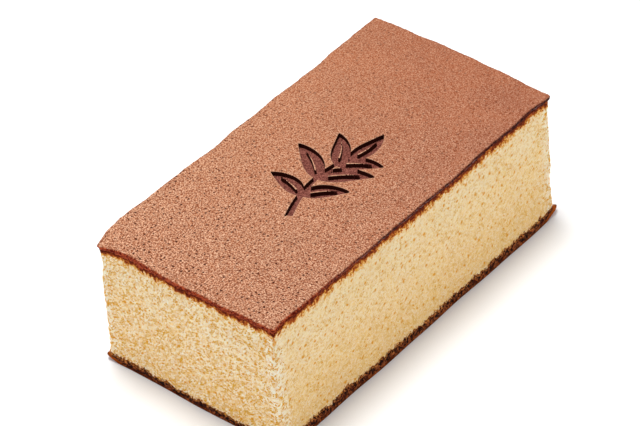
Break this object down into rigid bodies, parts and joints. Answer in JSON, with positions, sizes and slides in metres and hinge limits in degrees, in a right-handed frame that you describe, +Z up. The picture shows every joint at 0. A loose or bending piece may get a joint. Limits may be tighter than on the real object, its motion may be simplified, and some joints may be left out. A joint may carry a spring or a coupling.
{
  "type": "castella sponge cake",
  "caption": "Long rectangular bar of honey sponge cake with thin browned crusts above and below and a leaf sprig pressed into the top.",
  "frame": {"origin": "middle of the bar's foot, on the surface it stands on", "axes": "+X along the bar's length, +Y across its width, +Z up through the top crust"},
  "size_m": [0.1844, 0.0982, 0.0664],
  "materials": {
    "sponge": "soft open pale yellow crumb on all four cut sides, matt",
    "top_crust": "fine-grained baked skin, pinkish tan, almost matt",
    "bottom_crust": "dark brown syrupy baked skin, slightly shiny"
  },
  "bodies": {
    "root": {"castella": "sponge"}
  },
  "joints": []
}
